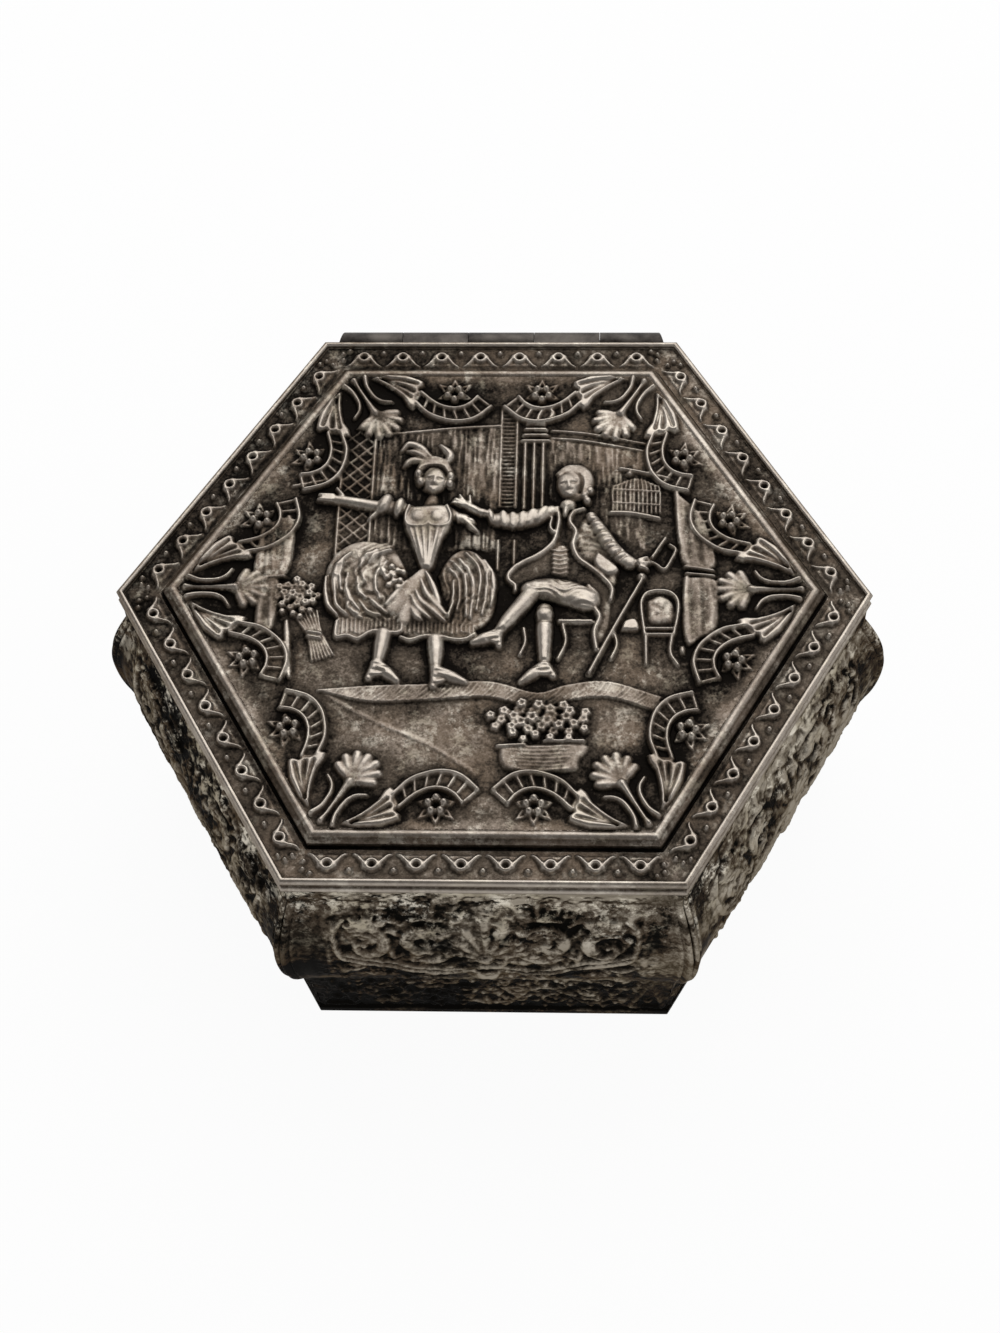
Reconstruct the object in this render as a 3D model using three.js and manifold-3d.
// A six-sided trinket box of cast white metal with a hinged lid, in millimetres.
// +Z is up, the front wall faces -Y, the hinge runs along X behind the back wall,
// and the origin is the centre of the underside of the base plate.
import * as THREE from 'three';
import { ConvexGeometry } from 'three/addons/geometries/ConvexGeometry.js';
import { mergeVertices } from 'three/addons/utils/BufferGeometryUtils.js';
import Module from 'manifold-3d';

// Lid
const lidSide = 65;
const lidEdgeHeight = 4.2;
const rimWidth = 1.1;
const bandWidth = 6;
const bandDepth = 0.9;
const panelRise = 1.2;
const panelBevel = 0.7;
const panelFrameWidth = 1;
const fieldDepth = 0.6;
const beadHeight = 1.4;
const beadGroove = 0.6;
const lidLipHeight = 0.5;

// Body
const bodyHeight = 50;
const neckHeight = 3.6;
const skirtHeight = 19;
const swellPeakHeight = 33;
const swellProjection = 3.6;
const swellRoundness = 0.62;
const creaseInset = 0.2;
const footInset = 2.4;
const footBandHeight = 1.6;
const footBandProjection = 0.5;
const wallThickness = 2.2;
const footWallThickness = 2.1;
const mouthFlangeHeight = 2;
const baseThickness = 1.5;
const baseRebate = 0.9;

// Corner pilasters, each half of one cast on the end of a wall
const pilasterWidth = 5;
const ridgeOffset = 1.3;
const ridgeProjection = 1.2;
const coveProjection = 0.45;
const mitreGrooveProjection = 0.5;
const neckPilasterShare = 0.5;

// Hinge
const knuckleCount = 5;
const knuckleRadius = 2.3;
const hingeInset = 2;
const hingePinRadius = 0.95;
const tongueClearance = 0.3;
const hingeEndTaper = 1.6;

// Linings: velvet over card
const wallLiningThickness = 1.3;
const floorPadThickness = 2;
const floorPadCrown = 0.7;
const lidPadThickness = 1.3;
const lidPadCrown = 0.6;
const lidRecessDepth = 1.8;
const padEdgeRadius = 0.6;

// Cast relief on the lid, drawn for a field of this apothem and scaled to the real one
const drawnFieldApothem = 46.9;
const reliefHeight = 1.2;
const reliefSink = 0.4;
const moundShoulder = 0.72;
const roundSegments = 6;
const pillowBevel = 0.36;
const railHalfWidth = 0.42;
const lobeHalfWidth = 0.6;
const stemHalfWidth = 0.5;
const tendrilHalfWidth = 0.35;
const leafHeight = 0.95;
const petalRadius = 0.68;
const petalReach = 1.4;
const petalCount = 5;
const bellsPerSide = 8;
const bellPitch = 7.05;
const bellHeight = 0.6;
const bellEyeRadius = 0.5;
const bellEyeCorners = 5;
const bellEyeOffset = 3.3;

// Clearances
const lidOverhang = 0.8;
const lidSeatGap = 0.2;
const solderGap = 0.3;
const mitreGap = 0.3;
const liningGap = 0.3;
const knuckleEndGap = 0.25;
const pinClearance = 0.06;
const barrelClearance = 0.4;

// Places that follow from the sizes above
const wallCount = 6;
const halfCornerAngle = Math.PI / wallCount;
const lidApothem = lidSide / 2 / Math.tan(halfCornerAngle);
const neckApothem = lidApothem - lidOverhang;
const creaseApothem = neckApothem - creaseInset;
const peakApothem = neckApothem + swellProjection;
const footApothem = neckApothem - footInset;
const innerApothem = footApothem - footWallThickness;
const neckBottom = bodyHeight - neckHeight;
const lidBottom = bodyHeight + lidSeatGap;
const rimTop = lidBottom + lidEdgeHeight;
const bandFloor = rimTop - bandDepth;
const panelTop = rimTop + panelRise;
const fieldLevel = panelTop - fieldDepth;
const panelApothem = lidApothem - rimWidth - bandWidth;
const fieldApothem = panelApothem - panelBevel - panelFrameWidth - fieldDepth;
const reliefScale = fieldApothem / drawnFieldApothem;
const hingeLength = lidSide - 2 * hingeInset;
const hingeY = lidApothem + barrelClearance + knuckleRadius;
const hingeZ = bodyHeight + lidSeatGap / 2;
const knuckleLength = hingeLength / knuckleCount;
const boreRadius = hingePinRadius + pinClearance;
const wallLiningApothem = innerApothem - liningGap;
const floorPadApothem = wallLiningApothem - wallLiningThickness - liningGap;
const lidPadApothem = innerApothem - liningGap;
const lidRecessApothem = lidPadApothem + liningGap;

const wornSilver = { color: 0x8f887d, roughness: 0.42, metalness: 0.9 };
const darkSilver = { color: 0x5b554c, roughness: 0.5, metalness: 0.9 };
const baseMetal = { color: 0x77716a, roughness: 0.5, metalness: 0.85 };
const steel = { color: 0x9a9893, roughness: 0.35, metalness: 1 };
const velvet = { color: 0x5c1420, roughness: 0.95, metalness: 0 };

const wasm = await Module();
wasm.setup();

// Turns a closed geometry into a solid that can be cut and joined.
function toSolid(geometry) {
  const bare = new THREE.BufferGeometry();
  bare.setAttribute('position', geometry.getAttribute('position').clone());
  if (geometry.index) bare.setIndex(geometry.index.clone());
  const merged = mergeVertices(bare, 1e-4);
  const vertProperties = Float32Array.from(merged.getAttribute('position').array);
  const triVerts = Uint32Array.from(merged.index.array);
  return new wasm.Manifold(new wasm.Mesh({ numProp: 3, vertProperties, triVerts }));
}

function toGeometry(solid) {
  const cut = solid.getMesh();
  const geometry = new THREE.BufferGeometry();
  geometry.setAttribute('position', new THREE.BufferAttribute(cut.vertProperties, 3));
  geometry.setIndex(new THREE.BufferAttribute(cut.triVerts, 1));
  geometry.computeVertexNormals();
  return geometry;
}

function piece(name, geometry, finish) {
  const mesh = new THREE.Mesh(geometry, new THREE.MeshStandardMaterial(finish));
  mesh.name = name;
  return mesh;
}

// A six-sided turning: each profile point is [distance from the axis to a flat, height].
function hexTurning(profile) {
  const points = profile.map(([apothem, height]) =>
    new THREE.Vector2(apothem / Math.cos(halfCornerAngle), height));
  const turned = new THREE.LatheGeometry(points, wallCount, halfCornerAngle);
  turned.rotateX(Math.PI / 2);
  return turned;
}

// Half-round moulding from one height to another, standing out from an apothem.
function bead(apothem, projection, low, high, steps) {
  const points = [];
  for (let i = 0; i <= steps; i++) {
    const angle = Math.PI * i / steps;
    const height = (low + high) / 2 - (high - low) / 2 * Math.cos(angle);
    points.push([apothem + projection * Math.sin(angle), height]);
  }
  return points;
}

// Outer face of a wall between the pilasters: its distance from the axis at a height.
// The skirt flares up from the foot, the swell is elliptical below its widest line and
// eases in above it to the plain neck under the lid.
function wallFace(height) {
  if (height <= skirtHeight) {
    const rise = Math.pow(height / skirtHeight, 1.5);
    return footApothem + (creaseApothem - footApothem) * rise;
  }
  if (height <= swellPeakHeight) {
    const left = (swellPeakHeight - height) / (swellPeakHeight - skirtHeight);
    return creaseApothem + (peakApothem - creaseApothem) * Math.pow(1 - left * left, swellRoundness);
  }
  if (height <= neckBottom) {
    const share = (height - swellPeakHeight) / (neckBottom - swellPeakHeight);
    return neckApothem + (peakApothem - neckApothem) * Math.cos(share * Math.PI / 2);
  }
  return neckApothem;
}

// How far a pilaster stands out, measured along the wall from the mitre: a narrow
// groove at the mitre, a round ridge, then a shallow cove that ends at the panel.
function pilasterSection(inset) {
  const ridgeEnd = ridgeOffset * 2;
  if (inset < ridgeOffset) {
    const turn = Math.sin(inset / ridgeOffset * Math.PI / 2);
    return mitreGrooveProjection + (ridgeProjection - mitreGrooveProjection) * turn;
  }
  if (inset < ridgeEnd) {
    const turn = Math.sin((inset - ridgeOffset) / ridgeOffset * Math.PI / 2);
    return ridgeProjection + (coveProjection - ridgeProjection) * turn;
  }
  return inset < pilasterWidth ? coveProjection : 0;
}

// The pilaster is full on the swell, thinner on the neck and gone below the crease.
function pilasterShare(height) {
  if (height <= skirtHeight) return 0;
  if (height < swellPeakHeight) {
    const left = (swellPeakHeight - height) / (swellPeakHeight - skirtHeight);
    return Math.pow(1 - left * left, swellRoundness);
  }
  const share = Math.min(1, (height - swellPeakHeight) / (neckBottom - swellPeakHeight));
  return 1 - (1 - neckPilasterShare) * share * share;
}

// Heights of the points on the outer face, closer together where it curves more.
function outerHeights() {
  const heights = [0, footBandHeight, footBandHeight + footBandProjection];
  const skirtSteps = 4;
  const swellSteps = 6;
  const easeSteps = 6;
  const skirtStart = heights.at(-1);
  for (let i = 1; i <= skirtSteps; i++) {
    heights.push(skirtStart + (skirtHeight - skirtStart) * i / skirtSteps);
  }
  for (let i = 1; i <= swellSteps; i++) {
    const angle = Math.PI / 2 * i / swellSteps;
    heights.push(skirtHeight + (swellPeakHeight - skirtHeight) * (1 - Math.cos(angle)));
  }
  for (let i = 1; i <= easeSteps; i++) {
    heights.push(swellPeakHeight + (neckBottom - swellPeakHeight) * i / easeSteps);
  }
  heights.push(bodyHeight);
  return heights;
}

// Inner side of a wall from the rim down: the flange round the mouth, the hollow
// of the swell, and the rebate that the base plate is let into.
function innerOutline() {
  const flangeBottom = bodyHeight - mouthFlangeHeight;
  const hollowSteps = 6;
  const hollowFloor = baseThickness + liningGap;
  const points = [[innerApothem, bodyHeight], [innerApothem, flangeBottom]];
  for (let i = 0; i <= hollowSteps; i++) {
    const height = flangeBottom + (hollowFloor * 2 - flangeBottom) * i / hollowSteps;
    points.push([Math.max(innerApothem + 0.01, wallFace(height) - wallThickness), height]);
  }
  points.push([innerApothem, hollowFloor], [innerApothem + baseRebate, hollowFloor]);
  points.push([innerApothem + baseRebate, 0]);
  return points;
}

// Closed outline of a wall at one distance along it from the mitre.
function wallSection(inset) {
  const outer = outerHeights().map((height) => {
    const foot = height <= footBandHeight ? footBandProjection : 0;
    const pilaster = pilasterSection(inset) * pilasterShare(height);
    return [wallFace(height) + foot + pilaster, height];
  });
  return outer.concat(innerOutline());
}

// Skins a row of closed sections with equal point counts and caps both ends.
// A point is [distance from the box's axis, height], and the ends meet their
// neighbours in mitres because every point's reach along X grows with its distance.
function mitredLoft(stations) {
  const positions = [];
  const index = [];
  const count = stations[0].section.length;
  for (const { side, inset, section } of stations) {
    for (const [distance, height] of section) {
      const reach = distance * Math.tan(halfCornerAngle) - mitreGap / 2 / Math.cos(halfCornerAngle);
      positions.push(side * (reach - inset(reach)), -distance, height);
    }
  }
  for (let s = 0; s + 1 < stations.length; s++) {
    for (let p = 0; p < count; p++) {
      const next = (p + 1) % count;
      const a = s * count + p;
      const b = s * count + next;
      index.push(a, a + count, b, b, a + count, b + count);
    }
  }
  const outline = stations[0].section.map(([distance, height]) => new THREE.Vector2(distance, height));
  const last = (stations.length - 1) * count;
  for (const [a, b, c] of THREE.ShapeUtils.triangulateShape(outline, [])) {
    index.push(a, b, c);
    index.push(last + a, last + c, last + b);
  }
  const geometry = new THREE.BufferGeometry();
  geometry.setAttribute('position', new THREE.Float32BufferAttribute(positions, 3));
  geometry.setIndex(index);
  geometry.computeVertexNormals();
  return geometry;
}

// One cast wall with half a pilaster at each end.
function wallGeometry() {
  const ridgeEnd = ridgeOffset * 2;
  const panelEdge = pilasterWidth + coveProjection;
  const seam = 0.01;
  const insets = [0, ridgeOffset / 2, ridgeOffset, ridgeOffset * 1.5, ridgeEnd, pilasterWidth - seam,
    panelEdge];
  const stations = [];
  for (const inset of insets) {
    stations.push({ side: -1, inset: () => inset, section: wallSection(inset) });
  }
  for (const inset of insets.toReversed()) {
    stations.push({ side: 1, inset: () => inset, section: wallSection(inset) });
  }
  return mitredLoft(stations);
}

// Velvet on card, standing inside a wall from the base plate to the mouth flange.
function wallLiningGeometry() {
  const low = baseThickness + liningGap;
  const high = bodyHeight - mouthFlangeHeight - liningGap;
  const front = wallLiningApothem;
  const back = wallLiningApothem - wallLiningThickness;
  const section = [[front, low], [front, high], [back, high], [back, low]];
  return mitredLoft([
    { side: -1, inset: () => 0, section },
    { side: 1, inset: () => 0, section },
  ]);
}

function joined(solids) {
  return wasm.Manifold.union(solids);
}

// An outline raised from the ground of the relief, its foot sunk into the casting.
// It may have holes, and its upper edge may be bevelled.
function raised(height, outline, holes = [], bevel = 0) {
  const corners = (path) => path.map(([x, y]) => new THREE.Vector2(x, y));
  const shape = new THREE.Shape(corners(outline));
  shape.holes = holes.map((hole) => new THREE.Path(corners(hole)));
  const geometry = new THREE.ExtrudeGeometry(shape, {
    depth: height + reliefSink - 2 * bevel,
    bevelEnabled: bevel > 0,
    bevelThickness: bevel,
    bevelSize: bevel,
    bevelOffset: -bevel,
    bevelSegments: 1,
  });
  geometry.translate(0, 0, bevel - reliefSink);
  return toSolid(geometry);
}

// A raised outline with its upper edge rounded off.
function pillow(height, outline) {
  return raised(height, outline, [], Math.min(pillowBevel, height * 0.4));
}

// Outline of a strip along a path.
function strip(path, halfWidth) {
  const left = [];
  const right = [];
  path.forEach(([x, y], i) => {
    const [fromX, fromY] = path[Math.max(0, i - 1)];
    const [toX, toY] = path[Math.min(path.length - 1, i + 1)];
    const length = Math.hypot(toX - fromX, toY - fromY);
    const acrossX = (fromY - toY) / length * halfWidth;
    const acrossY = (toX - fromX) / length * halfWidth;
    left.push([x + acrossX, y + acrossY]);
    right.push([x - acrossX, y - acrossY]);
  });
  return left.concat(right.toReversed());
}

function rail(path, height = reliefHeight, halfWidth = railHalfWidth) {
  return raised(height, strip(path, halfWidth));
}

// Points of a low mound: its foot, its shoulder and its crown.
function moundPoints([x, y, radiusX, radiusY = radiusX], height, segments) {
  const rings = [[1, -reliefSink], [moundShoulder, height * moundShoulder]];
  const points = [new THREE.Vector3(x, y, height)];
  for (const [share, z] of rings) {
    for (let i = 0; i < segments; i++) {
      const angle = 2 * Math.PI * (i + 0.5) / segments;
      const offsetX = radiusX * share * Math.cos(angle);
      const offsetY = radiusY * share * Math.sin(angle);
      points.push(new THREE.Vector3(x + offsetX, y + offsetY, z));
    }
  }
  return points;
}

function mound(place, height = reliefHeight, segments = roundSegments) {
  return toSolid(new ConvexGeometry(moundPoints(place, height, segments)));
}

// A rounded arm or leg through joints, each given as [x, y, radius].
function limb(joints, height = reliefHeight) {
  const spans = joints.slice(1).map((joint, i) => [joints[i], joint]);
  return spans.map((ends) => {
    const points = ends.flatMap((joint) => moundPoints(joint, height, roundSegments));
    return toSolid(new ConvexGeometry(points));
  });
}

function mirrored(path, hand) {
  return path.map(([x, y]) => [x * hand, y]);
}

// Fan of seven lobes in a corner of the lid, drawn with the corner towards +X.
function palmette() {
  const throat = [44.3, 0];
  const tips = [[42.5, 3.35], [40.65, 3.1], [39.2, 1.8], [38.8, 0], [39.2, -1.8], [40.65, -3.1], [42.5, -3.35]];
  const notchShare = 0.5;
  const outline = [[44.6, 0.9]];
  tips.forEach(([x, y], i) => {
    const length = Math.hypot(x - throat[0], y - throat[1]);
    const outX = (x - throat[0]) / length * lobeHalfWidth;
    const outY = (y - throat[1]) / length * lobeHalfWidth;
    outline.push([x + outY, y - outX], [x + outX, y + outY], [x - outY, y + outX]);
    if (i + 1 < tips.length) {
      const middleX = (x + tips[i + 1][0]) / 2;
      const middleY = (y + tips[i + 1][1]) / 2;
      outline.push([throat[0] + (middleX - throat[0]) * notchShare, middleY * notchShare]);
    }
  });
  outline.push([44.6, -0.9]);
  return raised(reliefHeight, outline);
}

// Stem, tendrils and two-lobed leaves beside a palmette, drawn as that is.
function cornerFoliage() {
  const parts = [rail([[44.2, 0], [52.7, 0]], reliefHeight, stemHalfWidth)];
  for (const hand of [1, -1]) {
    const handed = (path) => path.map(([x, y]) => [x, y * hand]);
    const tendril = [[52.4, 2.1], [49.1, 1.4], [47.3, 1.6], [45.9, 2.4], [45, 3.8]];
    const nearLobe = [[51.7, 2.9], [47.3, 5.8], [43.7, 6.5], [42.2, 7.2], [43.8, 8], [47.2, 7.5], [49.3, 6.2]];
    const farLobe = [[51.7, 2.9], [48.6, 6.9], [45.4, 10.1], [46, 10.9], [48.9, 8.8], [50.8, 6]];
    parts.push(rail(handed(tendril), leafHeight, tendrilHalfWidth));
    parts.push(...[nearLobe, farLobe].map((lobe) => raised(leafHeight, handed(lobe))));
  }
  return parts;
}

// Ladder arch with a flower under it, on the left half of the front side for hand 1
// and on its right half for hand -1.
function archAndFlower(hand) {
  const outer = [[-15, -40.8], [-12.5, -38.1], [-9.5, -36.7], [-6.8, -36.3], [-4, -37.1], [-1.2, -39.7]];
  const inner = [[-14, -43.1], [-11.5, -40.7], [-9, -39.5], [-6.8, -39.5], [-5, -40.5], [-3.7, -42.1]];
  const [flowerX, flowerY] = [-7.9, -42.6];
  const rungs = [[[-14.1, -40.5], [-12.9, -41.4]], [[-11.4, -38], [-10.7, -39.8]], [[-8.3, -37], [-8, -39]],
    [[-5.2, -37.1], [-5.9, -39.3]], [[-3, -38.4], [-4.3, -40.2]]];
  const parts = [outer, inner, ...rungs].map((path) => rail(mirrored(path, hand)));
  for (let i = 0; i < petalCount; i++) {
    const angle = Math.PI / 2 + 2 * Math.PI * i / petalCount;
    const x = flowerX + petalReach * Math.cos(angle);
    const y = flowerY + petalReach * Math.sin(angle);
    parts.push(mound([x * hand, y, petalRadius], reliefHeight, petalCount));
  }
  return parts;
}

// Copies of the front side's ornament on all the sides.
function roundTheSides(solid) {
  const geometry = toGeometry(solid);
  const turns = Array.from({ length: wallCount }, (_, i) => 2 * halfCornerAngle * i);
  return turns.map((turn) => toSolid(geometry.clone().rotateZ(turn)));
}

// The ring of ornament round the picture.
function ornamentRing() {
  const corner = toGeometry(joined([palmette(), ...cornerFoliage()])).rotateZ(-2 * halfCornerAngle);
  return roundTheSides(joined([toSolid(corner), ...archAndFlower(1), ...archAndFlower(-1)]));
}

// The lady: petticoat with its folds, puffed skirts, feet, bodice, arms, head and plumes.
function ladyRelief() {
  const petticoat = [[-13.2, 4.6], [-17.6, -3.4], [-26.3, -4.9], [-26.2, -10.1], [-22.6, -10.6], [-19.7, -9],
    [-13.6, -10.8], [-9, -9.9], [-3.6, -10.5], [-1.6, -6.9], [-6.6, -4], [-9.6, 4.6]];
  const foldFeet = [[-19.6, -8.2], [-16.6, -9], [-13.3, -9.8], [-10.2, -9.4], [-6.8, -9.3]];
  const bodice = [[-15.8, 14.6], [-14.6, 17.1], [-8.6, 17.4], [-7.3, 14], [-10.1, 3.9], [-12.5, 3.9]];
  return [
    pillow(1, petticoat),
    ...foldFeet.map((foot) => rail([[-11.4, 3.6], foot], 1.4, 0.5)),
    mound([-21.6, 1.1, 7, 8.2], 1.6, 12),
    mound([-4, -0.3, 4.5, 7.8], 1.5, 10),
    ...limb([[-18.1, -9.5, 1.5], [-18.8, -15.3, 1], [-18.9, -17.2, 0.9]]),
    ...limb([[-19.2, -17.5, 1.1], [-15.8, -18.6, 0.6]]),
    ...limb([[-9.3, -9.7, 1.6], [-9, -16.3, 1.1], [-8.9, -18.2, 0.9]]),
    ...limb([[-9, -18.5, 1.1], [-4.7, -18.9, 0.6]]),
    pillow(1.6, bodice),
    ...limb([[-11.3, 16.6, 1.8], [-10.9, 20.6, 1.1]]),
    ...limb([[-14, 15.8, 1.6], [-20.3, 17.2, 1.4], [-30.4, 18.9, 0.8]], 1.5),
    ...limb([[-8.8, 16.1, 1.4], [-3.6, 13.4, 1.1], [-2.2, 15.8, 1], [-6.4, 18.6, 0.6]]),
    mound([-11.1, 24.2, 3.6, 4.3], 1.6, 10),
    mound([-10.7, 22.7, 2.3, 3.1], 2, 8),
    ...limb([[-12.2, 27.6, 0.9], [-15.8, 30.4, 0.7]]),
    ...limb([[-9, 27.2, 0.8], [-9, 30.4, 0.5]]),
  ];
}

// The gentleman: coat and its turned edges, legs, arms, head, sword and tail of hair.
function gentlemanRelief() {
  const coat = [[10.8, 17.4], [15.6, 17.2], [18.6, 12.9], [21.4, 4.4], [20.8, -1.9], [18, -1.4], [12, 0.6],
    [3.9, 0.3], [2.9, 3.1], [8, 7.1], [11, 12.1]];
  const tail = [[16.2, -0.6], [20.9, -1], [19.4, -7.9], [17.9, -12.6], [17.1, -8.9]];
  const leftEdge = [[11, 17.1], [11, 12.1], [8, 7.1], [2.9, 3.1], [3.9, 0.4]];
  const rightEdge = [[15.4, 16.9], [13.2, 14.1], [14, 9.1], [18, 3], [17.4, -1]];
  return [
    pillow(1, coat),
    pillow(0.9, tail),
    ...[leftEdge, rightEdge].map((edge) => rail(edge, 1.4)),
    ...limb([[14.6, -3.9, 2], [9.3, -4.3, 1.9], [9.2, -15.3, 1.1], [10.2, -16.9, 0.9]]),
    ...limb([[10.2, -17, 1], [5.7, -18.8, 0.6]]),
    ...limb([[16.2, -2.3, 2.4], [7.4, -0.5, 2]], 1.9),
    ...limb([[7.4, -0.5, 1.9], [1.4, -8.9, 1.1], [1, -10.2, 0.9]], 1.6),
    ...limb([[1.2, -10.3, 1], [-2.6, -11.2, 0.6]]),
    ...limb([[11.4, 15.8, 1.7], [4, 14.2, 1.8], [-0.6, 14.9, 1.3]], 1.6),
    ...limb([[16.2, 14.9, 1.8], [20.2, 9.1, 1.7], [25.6, 5.1, 1.1]], 1.7),
    mound([14.1, 22.5, 3.4, 4.2], 1.5, 10),
    mound([13.1, 21.8, 2.2, 3], 2, 8),
    mound([12.9, 17.7, 1.9, 1.4], 1.6),
    rail([[25.6, 1.7], [16.7, -17.2]]),
    rail([[25.9, 6.3], [29.5, 4.1], [31.5, 8.2], [30.5, 9.3]]),
    rail([[29.8, 10.7], [27.4, 6.5]]),
  ];
}

// A cloth that hangs: its outline with folds along it.
function hanging(height, outline, folds) {
  const foldRise = 0.3;
  return [pillow(height, outline), ...folds.map((fold) => rail(fold, height + foldRise))];
}

// Drapes, lattice pillar, column, curtains and terrace behind and under the figures.
function terraceRelief() {
  const drape = [[-21.2, 8.1], [-21.2, 33.3], [0.4, 35.3], [0.4, 8.1]];
  const drapeFolds = [[[-20, 32], [-17.6, 22], [-18.6, 9]], [[-16.6, 32.6], [-16, 27]],
    [[-4, 33.8], [-3, 26], [-4.6, 19]], [[-0.8, 34.2], [-0.6, 20], [-1.6, 9]]];
  const rightCurtain = [[31.2, 21.6], [31.8, 11.1], [32.8, 5.1], [38.2, 4.7], [37.6, 11.1]];
  const rightTail = [[32.6, 2.7], [33.2, -11.5], [38.2, -7.9], [38.2, 2.1]];
  const leftCurtain = [[-40.8, 13.1], [-41.2, 2.6], [-36, 2.3], [-34.6, 8.1], [-35.4, 15.1]];
  const leftTail = [[-40.4, 1.5], [-40.2, -8.5], [-37, -8.3], [-36.6, 1.5]];
  const edge = [[-28, -22], [-20, -21], [0, -20], [8, -22.2], [13, -20.6], [20, -19.9], [28.5, -22.8]];
  const [pillarLeft, pillarRight] = [-27.4, -21.7];
  const [pillarFoot, pillarTop] = [6.1, 35.1];
  const crossings = 6;
  const lattice = (first, second) => Array.from({ length: crossings + 1 }, (_, i) =>
    [i % 2 ? second : first, pillarFoot + (pillarTop - pillarFoot) * i / crossings]);
  const column = [[-0.2, 16.4], [-0.2, 32.8], [9.3, 32.8], [9.3, 16.4]];
  const flutes = [0.8, 3.6, 5.1, 6.7, 8.3];
  return [
    ...hanging(0.3, drape, drapeFolds),
    ...hanging(0.8, rightCurtain, [[[32.6, 18], [34.6, 6]], [[34, 15.6], [36.4, 6]]]),
    ...hanging(0.8, rightTail, [[[34, 1], [34.6, -9]], [[36.4, 1], [36.8, -7.6]]]),
    ...hanging(0.8, leftCurtain, [[[-39.4, 12], [-39.4, 3.6]], [[-37.2, 13], [-37, 3.6]]]),
    ...hanging(0.8, leftTail, [[[-39, 0.4], [-38.8, -7.4]]]),
    rail(edge, 0.6, 1.1),
    ...[pillarLeft, pillarRight].map((x) => rail([[x, pillarFoot], [x, pillarTop]], 0.8)),
    rail(lattice(pillarLeft, pillarRight), 0.6, 0.35),
    rail(lattice(pillarRight, pillarLeft), 0.6, 0.35),
    raised(0.4, column),
    ...flutes.map((x) => rail([[x, 17.2], [x, 32]], 0.8)),
  ];
}

// Cage, seat, chair, trough and bouquet.
function furnishingsRelief() {
  const cage = [[20.7, 16.3], [20.7, 21.5], [22, 23], [24.8, 23.7], [27.6, 22.9], [28.9, 21.3], [28.9, 15.6]];
  const bars = [22, 24.1, 26.2, 28.2];
  const chairBack = [[26, -9.3], [25.6, -2.3], [26.5, -0.8], [28.6, -0.3], [30.6, -0.8], [31.6, -2.5],
    [30.9, -9.3]];
  const trough = [[1.9, -31.1], [2.6, -34.9], [5, -36.2], [14, -36.1], [15.9, -30.7]];
  const stems = [[-33.8, -5.3], [-30.6, -9.3], [-29.2, -14.7], [-27.3, -13.7], [-29, -9.1], [-29.8, -4.5]];
  const troughFlowers = [[3, -27.4], [6.4, -28.6], [10.4, -28.4], [14, -27.6], [4.8, -25], [8.6, -25.4],
    [12.4, -25], [7.4, -22.6], [10.6, -22.8]];
  const bouquet = [[-35.8, -2.6], [-33, -4.4], [-31.2, -1.8], [-34, 0.6], [-32, 1.6]];
  const flowerRadius = 1.3;
  return [
    raised(0.45, cage),
    ...bars.map((x) => rail([[x, 16.2], [x, 22.2]], 0.8, 0.3)),
    rail([[20.3, 16.2], [28.7, 15]]),
    rail([[22, 25.9], [30.5, 23.7]]),
    rail([[11.6, -6.7], [17, -6.7]]),
    rail(chairBack),
    mound([28.6, -3.9, 2.2, 2.4], 0.8),
    pillow(1, trough),
    rail([[1.4, -31], [16.4, -30.6]], 1.2, 0.5),
    mound([8.7, -26, 7, 4.6], 0.7, 10),
    raised(0.7, stems),
    mound([-33.4, -1.5, 3.8, 4], 0.6, 8),
    ...troughFlowers.concat(bouquet).map(([x, y]) => mound([x, y, flowerRadius], 1.3)),
  ];
}

// The lid's cast relief, scaled to its field and standing on it.
function fieldRelief() {
  const picture = [...terraceRelief(), ...furnishingsRelief(), ...ladyRelief(), ...gentlemanRelief()];
  const whole = toGeometry(joined([...picture, ...ornamentRing()]));
  return toSolid(whole.scale(reliefScale, reliefScale, 1).translate(0, 0, fieldLevel));
}

// Outline of a small round hole.
function ring([x, y], radius, corners) {
  const angles = Array.from({ length: corners }, (_, i) => 2 * Math.PI * i / corners);
  return angles.map((angle) => [x + radius * Math.cos(angle), y + radius * Math.sin(angle)]);
}

// A row of bells with sunk eyes on each side of the sunk band. Their wings meet in
// peaks by the panel.
function bandRelief() {
  const pitch = bellPitch * reliefScale;
  const half = pitch / 2;
  const eyeLine = -panelApothem - bellEyeOffset;
  const back = -panelApothem + panelBevel / 2;
  const middles = Array.from({ length: bellsPerSide }, (_, i) => (i - (bellsPerSide - 1) / 2) * pitch);
  const wingTip = 1.7;
  const bell = [[-half * 0.55, 0.75], [-1.3, -0.3], [-0.75, -1.2], [0.75, -1.2], [1.3, -0.3],
    [half * 0.55, 0.75], [half, wingTip]];
  const hem = middles.flatMap((middle) => bell.map(([x, y]) => [middle + x, eyeLine + y]));
  const reach = bellsPerSide * half;
  const plate = [[reach, back], [-reach, back], [-reach, eyeLine + wingTip], ...hem];
  const eyes = middles.map((middle) => ring([middle, eyeLine], bellEyeRadius, bellEyeCorners));
  const side = toGeometry(raised(bellHeight, plate, eyes));
  return joined(roundTheSides(toSolid(side.translate(0, 0, bandFloor))));
}

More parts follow.
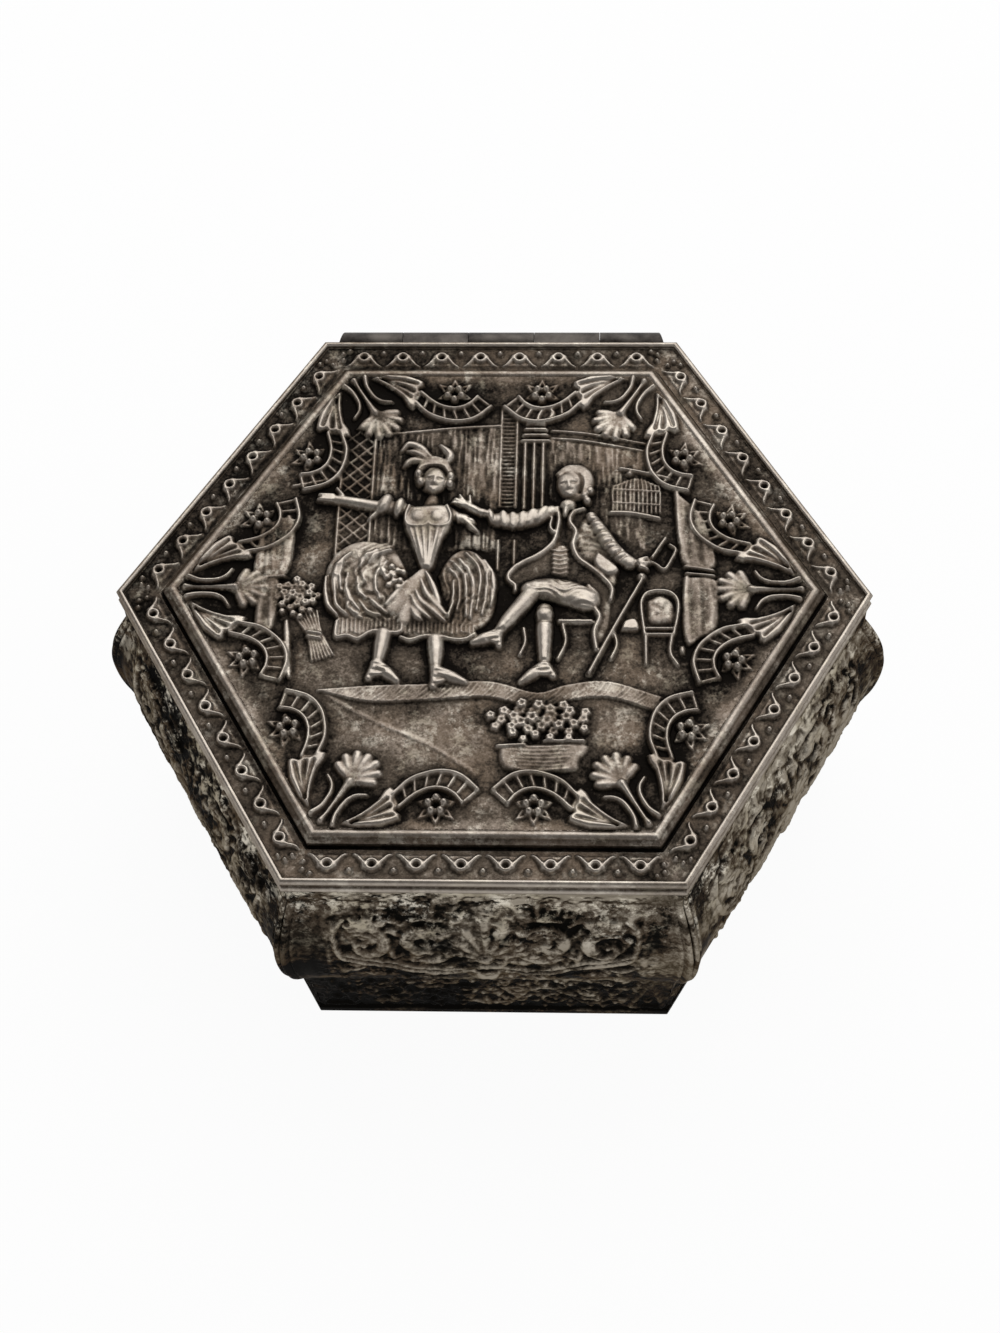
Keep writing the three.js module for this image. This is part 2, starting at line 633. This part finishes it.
// The lid is one casting: two beads round its edge, a sunk border band, a raised
// panel in a bevelled frame with its relief, and a shallow recess for its lining.
function lidGeometry() {
  const lowBead = lidBottom + lidLipHeight;
  const highBead = rimTop - beadHeight;
  const beadFoot = lidApothem - beadGroove;
  const rimInner = lidApothem - rimWidth;
  const recessTop = lidBottom + lidRecessDepth;
  const profile = [
    [0, recessTop],
    [lidRecessApothem, recessTop],
    [lidRecessApothem, lidBottom],
    [beadFoot, lidBottom],
    ...bead(beadFoot, beadGroove, lowBead, lowBead + beadHeight, 6),
    ...bead(beadFoot, beadGroove, highBead, rimTop, 6).slice(0, -1),
    [beadFoot, rimTop],
    [rimInner, rimTop - beadGroove / 2],
    [rimInner, bandFloor],
    [panelApothem, bandFloor],
    [panelApothem - panelBevel, panelTop],
    [panelApothem - panelBevel - panelFrameWidth, panelTop],
    [fieldApothem, fieldLevel],
    [0, fieldLevel],
  ];
  const plain = toSolid(hexTurning(profile));
  return toGeometry(plain.add(fieldRelief()).add(bandRelief()));
}

function basePlateGeometry() {
  const apothem = innerApothem + baseRebate - solderGap;
  return hexTurning([[0, 0], [apothem, 0], [apothem, baseThickness], [0, baseThickness]]);
}

// A thin pad with a rounded edge and a slight crown, flat side at the given height.
// Direction 1 puts its soft face up and -1 puts it down.
function padGeometry(apothem, flatHeight, thickness, crown, direction) {
  const steps = 4;
  const soft = flatHeight + direction * thickness;
  const points = [[0, flatHeight], [apothem, flatHeight]];
  for (let i = 0; i <= steps; i++) {
    const angle = Math.PI / 2 * i / steps;
    const inward = padEdgeRadius * (1 - Math.cos(angle));
    points.push([apothem - inward, soft - direction * padEdgeRadius * (1 - Math.sin(angle))]);
  }
  for (let i = 1; i <= steps; i++) {
    const share = i / steps;
    const height = soft + direction * crown * Math.sin(share * Math.PI / 2);
    points.push([(apothem - padEdgeRadius) * (1 - share), height]);
  }
  return hexTurning(direction > 0 ? points : points.toReversed());
}

// A hinge tube with the tongue that is soldered to a wall or to the lid's edge,
// drawn in the plane across the hinge with its bore at the origin. The tongue
// reaches forward to the seat and hangs below the axis, or above it on the lid.
function knuckleShape(seatY, tongueSide) {
  const lift = tongueSide * tongueClearance;
  const start = Math.asin(tongueClearance / knuckleRadius);
  const segments = 20;
  const shape = new THREE.Shape();
  shape.moveTo(seatY - hingeY, tongueSide * knuckleRadius);
  for (let i = 0; i <= segments; i++) {
    const angle = Math.PI / 2 - (Math.PI * 1.5 - start) * i / segments;
    shape.lineTo(knuckleRadius * Math.cos(angle), tongueSide * knuckleRadius * Math.sin(angle));
  }
  shape.lineTo(seatY - hingeY, lift);
  shape.closePath();
  const bore = new THREE.Path();
  bore.absarc(0, 0, boreRadius, 0, Math.PI * 2);
  shape.holes.push(bore);
  return shape;
}

// Knuckle number i of the row, counted from the left end of the hinge.
function knuckleGeometry(i, seatY, tongueSide) {
  const length = knuckleLength - knuckleEndGap;
  const shape = knuckleShape(seatY, tongueSide);
  const tube = new THREE.ExtrudeGeometry(shape, { depth: length, bevelEnabled: false, curveSegments: 12 });
  tube.applyMatrix4(new THREE.Matrix4().set(
    0, 0, 1, -hingeLength / 2 + knuckleLength * i + knuckleEndGap / 2,
    1, 0, 0, hingeY,
    0, 1, 0, hingeZ,
    0, 0, 0, 1,
  ));
  return toGeometry(toSolid(tube).intersect(hingeEnvelope()));
}

// The outer form of the whole barrel, tapered at both ends.
function hingeEnvelope() {
  const half = hingeLength / 2;
  const wide = knuckleRadius * 3;
  const slope = hingeEndTaper / knuckleRadius;
  const profile = [
    new THREE.Vector2(0, -half),
    new THREE.Vector2(boreRadius, -half),
    new THREE.Vector2(wide, -half + (wide - boreRadius) * slope),
    new THREE.Vector2(wide, half - (wide - boreRadius) * slope),
    new THREE.Vector2(boreRadius, half),
    new THREE.Vector2(0, half),
  ];
  const turned = new THREE.LatheGeometry(profile, 24);
  turned.rotateZ(-Math.PI / 2);
  turned.translate(0, hingeY, hingeZ);
  return toSolid(turned);
}

function hingePinGeometry() {
  const pin = new THREE.CylinderGeometry(hingePinRadius, hingePinRadius, hingeLength - knuckleEndGap, 24);
  pin.rotateZ(Math.PI / 2);
  pin.translate(0, hingeY, hingeZ);
  return pin;
}

const wallNames = ['front', 'front_right', 'back_right', 'back', 'back_left', 'front_left'];

function addWalls(box) {
  wallNames.forEach((name, i) => {
    const side = new THREE.Group();
    side.rotation.z = i * 2 * halfCornerAngle;
    side.add(piece(`${name}_wall`, wallGeometry(), wornSilver));
    side.add(piece(`${name}_wall_lining`, wallLiningGeometry(), velvet));
    box.add(side);
  });
}

function addFloor(box) {
  const padBase = baseThickness + liningGap;
  box.add(piece('base_plate', basePlateGeometry(), baseMetal));
  const floorPad = padGeometry(floorPadApothem, padBase, floorPadThickness, floorPadCrown, 1);
  box.add(piece('floor_pad', floorPad, velvet));
}

function addLid(box) {
  const padFlat = lidBottom + lidRecessDepth - liningGap;
  box.add(piece('lid', lidGeometry(), wornSilver));
  box.add(piece('lid_pad', padGeometry(lidPadApothem, padFlat, lidPadThickness, lidPadCrown, -1), velvet));
}

// The odd knuckles hold to the back wall and the even ones to the lid.
function addHinge(box) {
  for (let i = 0; i < knuckleCount; i++) {
    const onLid = i % 2 === 1;
    const seat = (onLid ? lidApothem : neckApothem) + solderGap;
    const owner = onLid ? 'lid' : 'body';
    const name = `${owner}_knuckle_${Math.floor(i / 2) + 1}`;
    box.add(piece(name, knuckleGeometry(i, seat, onLid ? 1 : -1), darkSilver));
  }
  box.add(piece('hinge_pin', hingePinGeometry(), steel));
}

const group = new THREE.Group();
addWalls(group);
addFloor(group);
addLid(group);
addHinge(group);

export default group;
